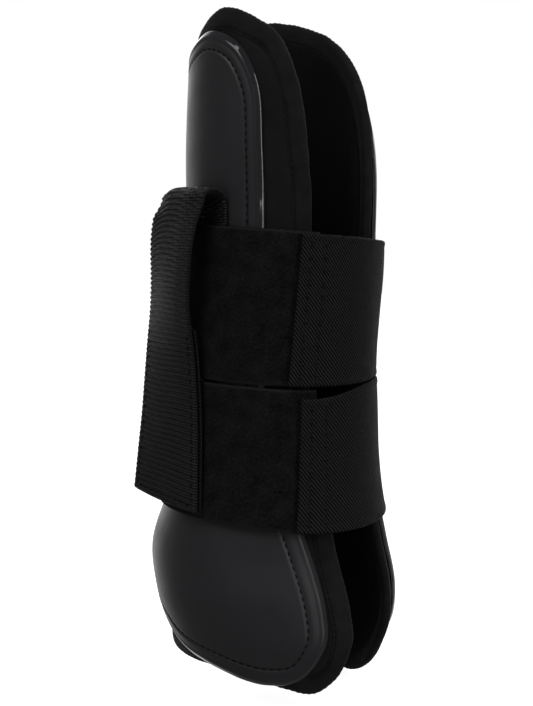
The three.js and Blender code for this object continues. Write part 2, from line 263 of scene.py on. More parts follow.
def profile(points):
    """A smooth curve through (place, value) points, level beyond its ends."""
    def slope(i):
        a, b = points[max(i - 1, 0)], points[min(i + 1, len(points) - 1)]
        return (b[1] - a[1]) / (b[0] - a[0])

    def value(place):
        if place <= points[0][0]:
            return points[0][1]
        if place >= points[-1][0]:
            return points[-1][1]
        i = next(n for n in range(len(points) - 1) if place < points[n + 1][0])
        (start, low), (end, high) = points[i], points[i + 1]
        span = end - start
        t = (place - start) / span
        rise = high - low
        s, e = slope(i) * span, slope(i + 1) * span
        return low + t * s + t * t * (3 * rise - 2 * s - e) + t ** 3 * (s + e - 2 * rise)

    return value


lining_radius = profile([
    (0, 33.5), (15, 37.8), (28, 41.8), (44, 44.2), (62, 43.1), (90, 35.9),
    (128, 32.1), (160, 32.2), (190, 32.8), (220, 33.5), (250, 32.6), (282, 30.6),
])
backset = profile([(0, 0), (26, 0.8), (42, 4.8), (62, 9.5), (90, 5.5), (128, 2.5), (190, 0.8), (282, 0)])
straight_from = profile([(0, 158), (70, 158), (180, 124), (282, 124)])
curve_kept = profile([(0, 0.7), (40, 0.75), (62, 1), (194, 1), (226, 0.45), (282, 0.35)])


def normal_at(angle):
    return Vector((-math.sin(angle * RAD), math.cos(angle * RAD), 0))


def tangent_at(angle):
    return Vector((-math.cos(angle * RAD), -math.sin(angle * RAD), 0))


def round_point(angle, height, offset):
    """A point a distance outside the lining's inner face, where the layers close round the leg."""
    place = normal_at(angle) * (lining_radius(height) + offset)
    return place + Vector((0, backset(height), height))


def boot_point(angle, height, offset):
    """The same on the shell and lining, whose front edges run straighter than the leg."""
    start = straight_from(height)
    past = abs(angle) - start
    if past <= 0:
        return round_point(angle, height, offset)
    side = math.copysign(1, angle)
    kept = curve_kept(height)
    wide = lining_radius(height) / kept
    turn = past * RAD * kept
    return (
        round_point(side * start, height, 0)
        + tangent_at(side * start) * (side * wide * math.sin(turn))
        - normal_at(side * start) * (wide * (1 - math.cos(turn)))
        + normal_at(side * (start + past * kept)) * offset
    )


def fade(value, start, end):
    """0 to 1 as a value goes from start to end."""
    t = min(max((value - start) / (end - start), 0), 1)
    return t * t * (3 - 2 * t)


def mix(a, b, share):
    return a + (b - a) * share


def bell(value, middle, reach):
    """1 at the middle, falling off on both sides."""
    return math.exp(-((value - middle) / reach) ** 2)


def pad_lift(angle, height):
    across = 1 - fade(abs(angle), *PAD_SIDES)
    return PAD_DEPTH * across * fade(height, *PAD_FOOT) * (1 - fade(height, *PAD_HEAD))


def shell_inner(angle, height):
    return LINING_THICKNESS + SHELL_GAP + pad_lift(angle, height)


ON_SHELL = LINING_THICKNESS + SHELL_GAP + SHELL_THICKNESS + GAP
TAB_INNER = ON_SHELL + PATCH_THICKNESS + GAP + HOOK_GAP
LAP_INNER = TAB_INNER + TAB_THICKNESS + GAP


def elastic_inner(angle):
    return mix(LAP_INNER, ON_SHELL, fade(angle, TAB_HINGE, LAP_END))


# ---- Meshes ----

def make_piece(name, points, faces, body, slot, material, uvs, values=None, flat=()):
    """A smooth mesh in millimetres that rides on a body. uvs are per point, in millimetres along the
    cloth, values are {attribute: number per point} and flat numbers the faces with sharp edges."""
    mesh = bpy.data.meshes.new(name)
    mesh.from_pydata([Vector(p) * MM for p in points], [], faces)
    layer = mesh.uv_layers.new(name="cloth")
    for loop in mesh.loops:
        layer.data[loop.index].uv = uvs[loop.vertex_index]
    for key, numbers in (values or {}).items():
        mesh.attributes.new(key, "FLOAT", "POINT").data.foreach_set("value", numbers)
    mesh.shade_smooth()
    for n in flat:
        mesh.polygons[n].use_smooth = False
    solid = bmesh.new()
    solid.from_mesh(mesh)
    bmesh.ops.recalc_face_normals(solid, faces=solid.faces)
    solid.to_mesh(mesh)
    solid.free()
    mesh.materials.append(material)
    piece = bpy.data.objects.new(name, mesh)
    bpy.context.collection.objects.link(piece)
    if body:
        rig.ride(piece, body)
    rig.slot(piece, slot)
    return piece


def sheet_angle(across):
    return across / SHEET_RADIUS / RAD


def outline_curve(points, steps):
    """The closed centripetal Catmull-Rom curve through an outline, as evenly spaced (across, up) points."""
    flat = [(angle * RAD * SHEET_RADIUS, height) for angle, height in points]
    count = len(flat)
    fine = []
    for i in range(count):
        corners = [flat[(i + k - 1) % count] for k in range(4)]
        spans = [math.dist(corners[k], corners[k + 1]) ** 0.5 for k in range(3)]
        terms = []
        for axis in (0, 1):
            x0, x1, x2, x3 = (corner[axis] for corner in corners)
            a, b, c = spans
            start = ((x1 - x0) / a - (x2 - x0) / (a + b) + (x2 - x1) / b) * b
            end = ((x2 - x1) / b - (x3 - x1) / (b + c) + (x3 - x2) / c) * b
            terms.append((x1, start, -3 * x1 + 3 * x2 - 2 * start - end, 2 * x1 - 2 * x2 + start + end))
        for k in range(SPAN_STEPS):
            t = k / SPAN_STEPS
            fine.append(tuple(p + q * t + r * t * t + s * t ** 3 for p, q, r, s in terms))
    return resample(fine, steps)


def resample(points, steps):
    """Evenly spaced points round a closed line."""
    line = points + [points[0]]
    reach = [0]
    for a, b in zip(line, line[1:]):
        reach.append(reach[-1] + math.dist(a, b))
    result = []
    i = 0
    for k in range(steps):
        target = reach[-1] * k / steps
        while i < len(line) - 2 and reach[i + 1] < target:
            i += 1
        share = (target - reach[i]) / max(reach[i + 1] - reach[i], 1e-9)
        result.append(tuple(mix(p, q, share) for p, q in zip(line[i], line[i + 1])))
    return result


def inset_curve(curve, distance):
    """A closed counter-clockwise curve moved inwards."""
    count = len(curve)
    moved = []
    for i, (x, y) in enumerate(curve):
        before, after = curve[i - 2], curve[(i + 2) % count]
        dx, dy = after[0] - before[0], after[1] - before[1]
        size = math.hypot(dx, dy)
        moved.append((x - dy / size * distance, y + dx / size * distance))
    return moved


def nearest(curve, place):
    target = (place[0] * RAD * SHEET_RADIUS, place[1])
    return min(range(len(curve)), key=lambda i: math.dist(curve[i], target))


def fill_grid(curve, corners):
    """The inside of a closed curve as an even grid: (points, faces). A face's numbers below the curve's
    length are places on the curve, and the points follow."""
    count = len(curve)
    found = [nearest(curve, corner) for corner in corners]
    rise = ((found[1] - found[0]) % count + (found[3] - found[2]) % count) // 2
    run = count // 2 - rise
    start = found[0]
    right = [(start + k) % count for k in range(rise + 1)]
    top = [(start + rise + k) % count for k in range(run + 1)]
    left = [(start - run - k) % count for k in range(rise + 1)]
    bottom = [(start - k) % count for k in range(run + 1)]
    edge = np.array(curve)
    s = np.linspace(0, 1, run + 1)[:, None, None]
    t = np.linspace(0, 1, rise + 1)[None, :, None]
    grid = (
        edge[right][None] * (1 - s) + edge[left][None] * s
        + edge[bottom][:, None] * (1 - t) + edge[top][:, None] * t
        - (edge[right[0]] * (1 - s) + edge[left[0]] * s) * (1 - t)
        - (edge[right[-1]] * (1 - s) + edge[left[-1]] * s) * t
    )
    for _ in range(GRID_RELAXING):
        grid[1:-1, 1:-1] = (grid[:-2, 1:-1] + grid[2:, 1:-1] + grid[1:-1, :-2] + grid[1:-1, 2:]) / 4
    index = np.empty((run + 1, rise + 1), int)
    index[1:-1, 1:-1] = count + np.arange((run - 1) * (rise - 1)).reshape(run - 1, rise - 1)
    index[:, 0], index[:, -1], index[0], index[-1] = bottom, top, right, left
    index = index.tolist()
    faces = [
        (index[i][j], index[i][j + 1], index[i + 1][j + 1], index[i + 1][j])
        for i in range(run) for j in range(rise)
    ]
    return grid[1:-1, 1:-1].reshape(-1, 2).tolist(), faces


def outlined_piece(name, outline, corners, section, steps, slot, material, place, tag=None):
    """A closed sheet inside an outline. section lists (inset, share) from the outer face over the edge to
    the inner face; place(angle, height, share, inset, along) puts a point; tag(inset, share, height) is
    stored as rim."""
    curve = outline_curve(outline, steps)
    rings = [inset_curve(curve, inset) if inset else curve for inset, _ in section]
    points, uvs, rim = [], [], []

    def put(x, y, share, inset, along):
        angle = sheet_angle(x)
        points.append(place(angle, y, share, inset, along))
        uvs.append((x, y))
        rim.append(tag(inset, share, y) if tag else 0)

    for ring, (inset, share) in zip(rings, section):
        for i, (x, y) in enumerate(ring):
            put(x, y, share, inset, i / steps)
    faces = []
    for k in range(len(section) - 1):
        for i in range(steps):
            j = (i + 1) % steps
            faces.append((k * steps + i, (k + 1) * steps + i, (k + 1) * steps + j, k * steps + j))
    for k in (0, len(section) - 1):
        share = section[k][1]
        extra, cells = fill_grid(rings[k], corners)
        base = len(points)
        for x, y in extra:
            put(x, y, share, DEEP_INSIDE, 0)
        for cell in cells:
            faces.append(tuple(k * steps + n if n < steps else base + n - steps for n in cell))
    return make_piece(name, points, faces, "boot", slot, material, uvs, {"rim": rim})


def swept_piece(name, loops, body, slot, material, uvs, closed=False, values=None):
    """A closed surface through equal loops of points, with a cap on each end unless the sweep closes."""
    size = len(loops[0])
    points = [p for loop in loops for p in loop]
    faces = []
    for k in range(len(loops) if closed else len(loops) - 1):
        n = (k + 1) % len(loops)
        for i in range(size):
            j = (i + 1) % size
            faces.append((k * size + i, k * size + j, n * size + j, n * size + i))
    walls = len(faces)
    if not closed:
        # Each cap is a strip of quads between the section's two long sides.
        for k in (0, len(loops) - 1):
            for i in range(size // 2 - 1):
                base = k * size
                faces.append((base + i, base + i + 1, base + size - 2 - i, base + size - 1 - i))
    flat_uvs = [uv for loop in uvs for uv in loop]
    flat_values = {key: [v for loop in rows for v in loop] for key, rows in (values or {}).items()}
    return make_piece(name, points, faces, body, slot, material, flat_uvs, flat_values,
                      flat=range(walls, len(faces)))


def strip_section(width, thickness, cells, edge):
    """A flat strip's section as (across, depth) points: the outer face from -width/2 to width/2, then the
    inner face back. The long edges are rounded."""
    half = width / 2
    inner = [(-half + 2 * half * i / cells, 0) for i in range(cells + 1)]
    top, bottom = [], []
    for across, _ in inner:
        near = min(half - abs(across), edge) / edge
        drop = (1 - math.sqrt(max(1 - (1 - near) ** 2, 0))) * thickness * 0.5
        top.append((across, thickness - drop))
        bottom.append((across, drop))
    return top + bottom[::-1]


# ---- Materials ----

def add_node(tree, kind, inputs=None, **settings):
    """A node with its settings and inputs. An input is a constant or another node's output."""
    made = tree.nodes.new(kind)
    for key, value in settings.items():
        setattr(made, key, value)
    for key, value in (inputs or {}).items():
        if isinstance(value, bpy.types.NodeSocket):
            tree.links.new(value, made.inputs[key])
        else:
            made.inputs[key].default_value = value
    return made


class Look:
    """A node material that is built up with short calls."""

    def __init__(self, name, color, roughness, **settings):
        self.material = bpy.data.materials.new(name)
        self.material.use_nodes = True
        self.tree = self.material.node_tree
        self.shader = self.tree.nodes["Principled BSDF"]
        self.shader.inputs["Base Color"].default_value = (*color, 1)
        self.shader.inputs["Roughness"].default_value = roughness
        for key, value in settings.items():
            self.shader.inputs[key.replace("_", " ")].default_value = value
        self.cloth = self.node("ShaderNodeUVMap", uv_map="cloth").outputs["UV"]
        self.place = self.node("ShaderNodeTexCoord").outputs["Object"]

    def node(self, kind, inputs=None, **settings):
        return add_node(self.tree, kind, inputs, **settings)

    def feed(self, source, name):
        self.tree.links.new(source, self.shader.inputs[name])

    def math(self, operation, *terms):
        return self.node("ShaderNodeMath", dict(enumerate(terms)), operation=operation).outputs[0]

    def total(self, first, second):
        """The sum of two (output, weight) pairs."""
        return self.math("ADD", self.math("MULTIPLY", *first), self.math("MULTIPLY", *second))

    def bands(self, pitch, angle=0, wobble=0):
        """Even ridges across the cloth, pitch in millimetres, turned by an angle."""
        turn = self.node("ShaderNodeVectorRotate", {"Vector": self.cloth, "Angle": angle * RAD},
                         rotation_type="Z_AXIS")
        inputs = {"Vector": turn.outputs[0], "Scale": math.pi / 10 / pitch, "Distortion": wobble,
                  "Detail": 1, "Detail Scale": 1.5}
        return self.node("ShaderNodeTexWave", inputs, bands_direction="X", wave_profile="SIN").outputs["Fac"]

    def noise(self, size, detail=2, vector=None):
        """Noise with features of about a size, in millimetres."""
        inputs = {"Vector": vector or self.place, "Scale": 1 / size if vector else 1 / (size * MM),
                  "Detail": detail}
        return self.node("ShaderNodeTexNoise", inputs).outputs["Fac"]

    def rim(self):
        return self.node("ShaderNodeAttribute", attribute_name="rim").outputs["Fac"]

    def bump(self, height, depth):
        """Adds relief of a depth in millimetres, over any there is."""
        normal = self.shader.inputs["Normal"]
        inputs = {"Height": height, "Distance": depth * MM, "Strength": 1}
        if normal.is_linked:
            inputs["Normal"] = normal.links[0].from_socket
        self.feed(self.node("ShaderNodeBump", inputs).outputs["Normal"], "Normal")

    def blend(self, share, first, second):
        """Goes from the first to the second, each a plain colour or an output."""
        first, second = ((*c, 1) if isinstance(c, tuple) else c for c in (first, second))
        inputs = {"Factor": share, 6: first, 7: second}
        return self.node("ShaderNodeMix", inputs, data_type="RGBA").outputs[2]

    def ramp(self, value, low, high, start=0.0, end=1.0):
        """A value from start to end, as a colour from low to high."""
        share = self.node("ShaderNodeMapRange", {"Value": value, "From Min": start, "From Max": end})
        return self.blend(share.outputs[0], low, high)

    def colour(self, source):
        self.feed(source, "Base Color")


def grey(value, warmth=0.0):
    return (value * (1 + warmth), value, value * (1 - warmth))


def cloth_look(name, shade, roughness, specular, sheen, sheen_roughness=0.5):
    return Look(name, shade, roughness, Specular_IOR_Level=specular, Sheen_Weight=sheen,
                Sheen_Roughness=sheen_roughness)


def shell_look():
    """Satin moulded plastic with a glossy rim."""
    look = Look("shell_plastic", grey(0.012, -0.06), 0.5, Specular_IOR_Level=0.5)
    look.bump(look.noise(0.7, 3), 0.012)
    look.bump(look.noise(9, 2), 0.12)
    worn = look.math("MULTIPLY", look.noise(14, 4), 0.22)
    shine = look.math("MULTIPLY", look.rim(), -0.42)
    rough = look.math("ADD", look.math("ADD", worn, 0.4), shine)
    look.feed(rough, "Roughness")
    look.colour(look.ramp(look.noise(30, 3), (0.0142, 0.0142, 0.0172), (0.0176, 0.0176, 0.0212), 0.3, 0.7))
    return look.material


def neoprene_look():
    """Neoprene faced with fine jersey, its inner face painted darker as painted shade."""
    look = cloth_look("neoprene_jersey", grey(0.008), 0.9, 0.15, 0.03)
    knit = look.math("MULTIPLY", look.bands(0.55), look.bands(0.45, 90))
    look.bump(knit, 0.07)
    look.bump(look.noise(5, 3), 0.25)
    outside = look.ramp(look.noise(16, 3), grey(0.0095), grey(0.0145), 0.3, 0.7)
    # Painted shade: the inner face (rim) takes a darker colour where the inside of the sleeve lies in shadow.
    look.colour(look.blend(look.rim(), outside, grey(0.004)))
    return look.material


def binding_look():
    """The lining's hem, in a slightly paler tricot."""
    look = cloth_look("binding_tricot", grey(0.012), 0.85, 0.18, 0.04)
    look.bump(look.math("MULTIPLY", look.bands(0.5, 35), look.bands(0.5, -35)), 0.08)
    look.bump(look.noise(2.5, 3), 0.2)
    look.colour(look.ramp(look.noise(7, 4), grey(0.0075), grey(0.0145), 0.3, 0.7))
    return look.material


def foam_look():
    """Closed-cell foam."""
    look = Look("pad_foam", grey(0.03), 0.95, Specular_IOR_Level=0.2)
    cells = look.node("ShaderNodeTexVoronoi", {"Vector": look.place, "Scale": 1 / (0.8 * MM)})
    look.bump(cells.outputs["Distance"], 0.2)
    look.colour(look.ramp(cells.outputs["Distance"], grey(0.02), grey(0.045)))
    return look.material


def elastic_look():
    """Woven elastic with a diagonal twill."""
    look = cloth_look("elastic_twill", grey(0.012), 0.78, 0.08, 0.01, 0.4)
    weave = look.total((look.bands(1.05, -38, 0.25), 0.8), (look.bands(0.42, 90), 0.2))
    look.bump(weave, 0.65)
    fuzz = look.noise(0.5, 2)
    look.bump(fuzz, 0.05)
    shade = look.total((weave, 0.75), (fuzz, 0.3))
    look.colour(look.ramp(shade, grey(0.0016), grey(0.048), 0.25, 0.95))
    return look.material


def loop_look():
    """Brushed loop pile, with a painted sheen along its edges."""
    look = cloth_look("loop_pile", grey(0.005), 1.0, 0.05, 0.03, 0.6)
    pile = look.total((look.noise(0.35, 2, look.cloth), 0.45), (look.noise(1.1, 4, look.cloth), 0.55))
    look.bump(pile, 0.55)
    shade = look.total((pile, 0.7), (look.noise(7, 3, look.cloth), 0.3))
    base = look.ramp(shade, grey(0.003), grey(0.02), 0.4, 0.66)
    # Painted sheen: paler within about a millimetre of the edges (rim), where the fuzzy cut edge catches light.
    look.colour(look.blend(look.rim(), base, grey(0.022)))
    return look.material


def hook_look():
    """Hook tape: rows of short stiff hooks."""
    look = Look("hook_tape", grey(0.005), 0.7, Specular_IOR_Level=0.2)
    hooks = look.math("MULTIPLY", look.bands(1.1), look.bands(1.4, 90))
    look.bump(hooks, 0.6)
    look.bump(look.noise(0.6, 2), 0.15)
    look.colour(look.ramp(hooks, grey(0.002), grey(0.006)))
    return look.material


def webbing_look():
    """Heavy nylon webbing. Its ribs are in the mesh, and its yarns here, with painted light on the rib tops and
    painted shade in the grooves.
    """
    look = cloth_look("nylon_webbing", grey(0.012, 0.04), 0.62, 0.3, 0.03, 0.35)
    yarns = look.total((look.bands(1.1, 90, 0.8), 1), (look.noise(0.9, 2, look.cloth), 0.6))
    look.bump(yarns, 0.3)
    look.bump(look.noise(0.5, 2, look.cloth), 0.06)
    # Painted light and shade: colour lighter on the ribs' tops (rim) and darker in the grooves between them.
    painted_rib_shade = look.total((look.rim(), 0.75), (yarns, 0.28))
    shade = look.total((painted_rib_shade, 1), (look.noise(4, 3, look.cloth), 0.12))
    look.colour(look.ramp(shade, grey(0.0012, 0.04), grey(0.0205, 0.05), 0.2, 0.85))
    return look.material


def thread_look():
    """Twisted sewing thread."""
    look = Look("sewing_thread", grey(0.003), 0.6, Specular_IOR_Level=0.2)
    look.bump(look.bands(0.35, 40), 0.08)
    look.colour(look.ramp(look.noise(1.5, 2), grey(0.0015), grey(0.006), 0.3, 0.7))
    return look.material


SHELL = shell_look()
NEOPRENE = neoprene_look()
BINDING = binding_look()
FOAM = foam_look()
ELASTIC = elastic_look()
LOOP = loop_look()
HOOK = hook_look()
WEBBING = webbing_look()
THREAD = thread_look()


# ---- Stitching ----

def stitch_row(name, line, body, slot, pitch=3.0, length=2.3, radius=0.3, closed=False, wander=0.0):
    """Stitches along a line of (point, outward normal), each a small bowed capsule that dips at its ends."""
    draw = random.Random(name)
    reach = [0.0]
    places = line + ([line[0]] if closed else [])
    for a, b in zip(places, places[1:]):
        reach.append(reach[-1] + (b[0] - a[0]).length)

    def at(distance):
        distance %= reach[-1] if closed else 1e9
        i = min(bisect.bisect_right(reach, distance), len(reach) - 1) - 1
        share = (distance - reach[i]) / max(reach[i + 1] - reach[i], 1e-9)
        (p, m), (q, n) = places[i], places[i + 1]
        return p.lerp(q, share), m.lerp(n, share).normalized()

    count = int(reach[-1] / pitch)
    points, faces, uvs = [], [], []
    sides, rings = 6, 7
    for k in range(count):
        middle = (k + 0.5) * reach[-1] / count + draw.uniform(-1, 1) * wander
        base = len(points)
        lean = draw.uniform(-1, 1) * wander
        for r in range(rings):
            t = r / (rings - 1)
            p, n = at(min(max(middle + (t - 0.5) * length, 0.001), reach[-1] - 0.001 if not closed else 1e9))
            q, _ = at(min(middle + (t - 0.5) * length + 0.05, reach[-1] - 0.0005 if not closed else 1e9))
            along = (q - p).normalized()
            across = n.cross(along).normalized()
            bow = math.sin(t * math.pi)
            thick = radius * (0.35 + 0.65 * bow ** 0.5)
            centre = p + n * (radius * 0.9 * bow - radius * 0.35) + across * (lean * (t - 0.5))
            for s in range(sides):
                turn = 2 * math.pi * s / sides
                points.append(centre + across * (math.cos(turn) * thick)
                              + n * (math.sin(turn) * thick * 0.8))
                uvs.append((t * length, s * 0.3))
        for r in range(rings - 1):
            for s in range(sides):
                u = (s + 1) % sides
                faces.append((base + r * sides + s, base + r * sides + u,
                              base + (r + 1) * sides + u, base + (r + 1) * sides + s))
        faces.append(tuple(base + s for s in reversed(range(sides))))
        faces.append(tuple(base + (rings - 1) * sides + s for s in range(sides)))
    return make_piece(name, points, faces, body, slot, THREAD, uvs)


# ---- The boot's fixed pieces ----

EDGE_STEPS = 720  # points round the shell and the lining
PAD_STEPS = 160


def surface_normal(angle, height, offset):
    """The outward normal of the leg-shaped surface."""
    here = boot_point(angle, height, offset)
    across = boot_point(angle + 0.2, height, offset) - here
    up = boot_point(angle, height + 0.3, offset) - here
    return across.cross(up).normalized()


def wave(along, *cycles):
    """A smooth closed wobble round an outline, from -1 to 1."""
    return sum(math.sin(2 * math.pi * (n * along + n * n * 0.137)) for n in cycles) / len(cycles)


def sewn_line(outline, inset, point_at, depth_at, side=1):
    """Points and normals along a row of stitches inside an outline, on the outer (1) or inner (-1) face."""
    line = []
    for x, y in inset_curve(outline_curve(outline, EDGE_STEPS), inset):
        angle = sheet_angle(x)
        depth = depth_at(angle, y)
        line.append((point_at(angle, y, depth), surface_normal(angle, y, depth) * side))
    return line


SHELL_STITCH_INSET = 7.4
SHELL_STITCH_DEPTH = 0.42  # how far the thread is sunk into the shell's face
RUBBED = (66, 76, 186, 192)  # heights between which the straps rub the lip dull
# How far the shell's outer face stands off its plain surface, by the distance from its edge.
SHELL_RELIEF = profile([(0, 0), (1.7, 0), (2.3, 0.12), (2.9, 0.2), (3.7, -0.08), (4.5, 0.12), (5.6, 0.14),
                        (6.5, 0.08), (7.15, -0.4), (7.65, -0.4), (8.3, 0.03), (9.5, 0), (12, 0)])


def build_shell():
    """The moulded shell. Its lip is glossy except where the straps rub it."""
    def sharpness(height):
        """The lower lobe's lip is softer and duller."""
        return mix(0.4, 1, fade(height, 60, 190))

    def place(angle, height, share, inset, along):
        inner = shell_inner(angle, height)
        outer = inner + SHELL_THICKNESS
        wobble = 0.3 * wave(along, 23, 37, 61) + 0.15 * wave(along, 89, 113)
        lip = 1 - fade(inset, 0.3, 3)
        bevel = mix(sharpness(height), 1, fade(inset, 5, 6.3))
        relief = SHELL_RELIEF(inset) * bevel if share > 0.6 else 0
        return boot_point(angle, height, mix(inner, outer, share) + relief + 0.5 * lip * wobble)

    def gloss(inset, share, height):
        worn = fade(height, *RUBBED[:2]) * (1 - fade(height, *RUBBED[2:]))
        return (1 - fade(inset, 1.8, 2.8)) * (1 - worn) * sharpness(height) if share > 0 else 0

    outer_face = [(d, 1.0) for d in (14, 11, 9.8, 9, 8.5, 8.1, 7.7, 7.4, 7.1, 6.7, 6.3, 5.4, 4.5, 3.9, 3.5,
                                     3.2, 2.8, 2.5, 2.2)]
    rim = [(1.95, 0.97), (1.7, 0.9), (1.2, 0.74), (0.7, 0.57), (0.3, 0.41), (0.1, 0.28), (0, 0.16),
           (0.12, 0.04), (0.6, 0)]
    shell = outlined_piece(
        "moulded_shell", SHELL_OUTLINE, GRID_CORNERS, outer_face + rim + [(3, 0), (9, 0)], EDGE_STEPS,
        "shell", SHELL, place, tag=gloss,
    )
    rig.replaces(shell, "outer_shell")
    line = sewn_line(SHELL_OUTLINE, SHELL_STITCH_INSET, boot_point,
                     lambda angle, height: shell_inner(angle, height) + SHELL_THICKNESS - SHELL_STITCH_DEPTH)
    stitch_row("shell_stitches", line, "boot", "shell", 3.1, 2.1, 0.26, closed=True, wander=0.12)


HEM_STITCH_INSET = 8.0
HEM_PITCH = 2.6
HEM_TOOTH = 0.2  # how deep the edge is drawn in between stitches
LINING_MEAN_RADIUS = 36  # for its area, opened flat
FLARE = 2.8  # how far the lining's free corner turns outwards
FLARE_ANGLES = (58, 17)  # its middle, and its reach to either side
FLARE_HEIGHTS = (17, 31)  # full below the first, gone at the second


def lining_point(angle, height, offset):
    """A point on the lining, whose lower corner turns outwards below the shell."""
    flare = FLARE * bell(angle, *FLARE_ANGLES) * (1 - fade(height, *FLARE_HEIGHTS))
    return boot_point(angle, height, offset + flare)


def build_lining():
    core = [(16, 1), (11, 1), (9.7, 1), (9.2, 0.95), (8.6, 0.8), (1.7, 0.8), (1.1, 0.66), (0.95, 0.5),
            (1.1, 0.34), (1.7, 0.2), (8.6, 0.2), (9.2, 0.05), (9.7, 0), (11, 0), (16, 0)]

    def place(angle, height, share, inset, along):
        ease = fade(inset, 9, 14)
        gather = -0.12 * (1 - fade(inset, 9.5, 13)) * (share > 0.9)
        soft = 0.18 * math.sin(angle * 0.31 + height * 0.07) * math.sin(height * 0.11) * ease * (share < 0.5)
        return lining_point(angle, height, share * LINING_THICKNESS + gather + soft)

    # The inner face is tagged as rim, and the neoprene look paints it darker as painted shade.
    lining = outlined_piece("neoprene_sleeve", LINING_OUTLINE, GRID_CORNERS, core, EDGE_STEPS, "neoprene",
                            NEOPRENE, place, tag=lambda inset, share, height: 1 if share < 0.5 else 0)
    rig.replaces(lining, "neoprene_lining")

    # The hem's section as (inset, offset): round the lining's edge, and back inside the cloth.
    middle = LINING_THICKNESS / 2
    section = [(9.1, 3.5), (9.15, 3.75), (8.9, 3.95), (8.5, 4.0), (8.2, 3.87), (8.0, 3.75), (7.8, 3.87),
               (7.4, 4.1), (6, 4.25), (4, 4.25), (2.2, 4.15), (1.1, 3.9), (0.45, 3.4), (0.1, 2.7), (0, 2)]
    section += [(d, 2 * middle - o) for d, o in reversed(section[:-1])]
    inside = [(8.9, 0.6), (5, 0.45), (1.9, 0.6), (1, 1.2), (0.7, 2)]
    section += inside + [(d, 2 * middle - o) for d, o in reversed(inside[:-1])]
    steps = EDGE_STEPS * 2
    curve = outline_curve(LINING_OUTLINE, steps)
    rings = [inset_curve(curve, inset) for inset, _ in section]
    length = sum(math.dist(curve[i], curve[(i + 1) % steps]) for i in range(steps))
    puckers = round(length / HEM_PITCH)
    girth = [0.0]
    for a, b in zip(section, section[1:]):
        girth.append(girth[-1] + math.dist(a, b))
    loops, uvs = [], []
    for i in range(steps):
        along = i / steps
        pucker = math.cos(2 * math.pi * puckers * along)
        swell = wave(along, 41, 67, 97)
        inwards = [(a - b) / section[0][0] for a, b in zip(rings[0][i], curve[i])]
        loop = []
        for (inset, offset), ring in zip(section, rings):
            x, y = ring[i]
            outer = math.copysign(1, offset - middle) * min(1, abs(offset - middle) / middle)
            near = bell(inset, HEM_STITCH_INSET, 1.6)
            edge = bell(inset, 0, 1.5)
            offset += outer * (-0.1 * pucker * near + 0.08 * swell * (1 - near))
            slide = edge * (HEM_TOOTH * (0.5 + 0.5 * pucker) + 0.2 * swell)
            x += inwards[0] * slide
            y += inwards[1] * slide
            loop.append(lining_point(sheet_angle(x), y, offset))
        loops.append(loop)
        uvs.append([(along * length, r) for r in girth])
    hem = swept_piece("lining_hem", loops, "boot", "binding", BINDING, uvs, closed=True)
    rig.replaces(hem, "lining_binding")

    rows = []
    for face, side, depth in (("outer", 1, LINING_THICKNESS - 0.12), ("inner", -1, 0.12)):
        line = sewn_line(LINING_OUTLINE, HEM_STITCH_INSET, lining_point, lambda *place: depth, side)
        rows.append(stitch_row(f"hem_stitches_{face}", line, "boot", "binding", HEM_PITCH, 2.2, 0.26,
                               closed=True, wander=0.1))
    flat = [(angle * RAD * LINING_MEAN_RADIUS, height) for angle, height in LINING_OUTLINE]
    area = abs(sum(a[0] * b[1] - b[0] * a[1] for a, b in zip(flat, flat[1:] + flat[:1]))) / 2
    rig.sheet(lining, flat=(0.199, 0.28), held="stretched", rests_on=[], area=area * MM * MM,
             with_pieces=[hem, *rows])


def build_pad():
    def place(angle, height, share, inset, along):
        bottom = LINING_THICKNESS + GAP
        top = max(shell_inner(angle, height) - SHELL_GAP - GAP, bottom + 0.4)
        return boot_point(angle, height, mix(bottom, top, share))

    section = [(12, 1), (5, 1), (1.2, 1), (0.5, 0.9), (0, 0.5), (0.5, 0.1), (1.2, 0), (5, 0)]
    pad = outlined_piece("strike_pad_foam", PAD_OUTLINE, PAD_CORNERS, section, PAD_STEPS, "foam", FOAM,
                         place)
    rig.replaces(pad, "strike_pad")
    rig.padded(pad, fill=0.5)


# ---- Flat strips ----

END_STEPS = (0, 0.1, 0.25, 0.45, 0.7, 1)
ROW_STEPS = 60  # places worked out along a row of stitches


def spaced(start, end, step, edge, free):
    """Values from start to end about a step apart, with more of them within an edge of each free end."""
    sign = 1 if end > start else -1
    count = max(1, round(abs(end - start) / step))
    near = [start + sign * edge * share for share in END_STEPS] if free[0] else [start]
    far = [end - sign * edge * share for share in reversed(END_STEPS)] if free[1] else [end]
    even = [mix(start, end, k / count) for k in range(count + 1)]
    inside = [v for v in even if sign * (v - near[-1]) > step * 0.3 and sign * (far[0] - v) > step * 0.3]
    return near + inside + far


def strip(name, span, step, section, place, body, slot, material, cloth, free=(True, True), edge=1.0,
          lift=None, tag=None):
    """A flat strip between two stations: place(station, across, depth) puts a point and cloth(station,
    across) its place on the flat cloth. lift(station, across) raises the outer face, and tag(station,
    across) is stored as rim. Free ends are rounded over an edge, in the stations' own unit."""
    start, end = span
    thickness = max(depth for _, depth in section)
    last_outer = len(section) // 2 - 1
    loops, uvs, rims = [], [], []
    for station in spaced(start, end, step, edge, free):
        room = min([abs(station - tip) for tip, open_end in zip(span, free) if open_end] + [edge])
        squeeze = max(math.sqrt(max(1 - (1 - room / edge) ** 2, 0)), 0.3)
        loop = []
        for n, (across, depth) in enumerate(section):
            depth = mix(thickness / 2, depth, squeeze)
            if lift and n <= last_outer:
                depth += lift(station, across) * squeeze
            loop.append(place(station, across, depth))
        loops.append(loop)
        uvs.append([cloth(station, across) for across, _ in section])
        rims.append([tag(station, across) if tag else 0 for across, _ in section])
    return swept_piece(name, loops, body, slot, material, uvs, values={"rim": rims})


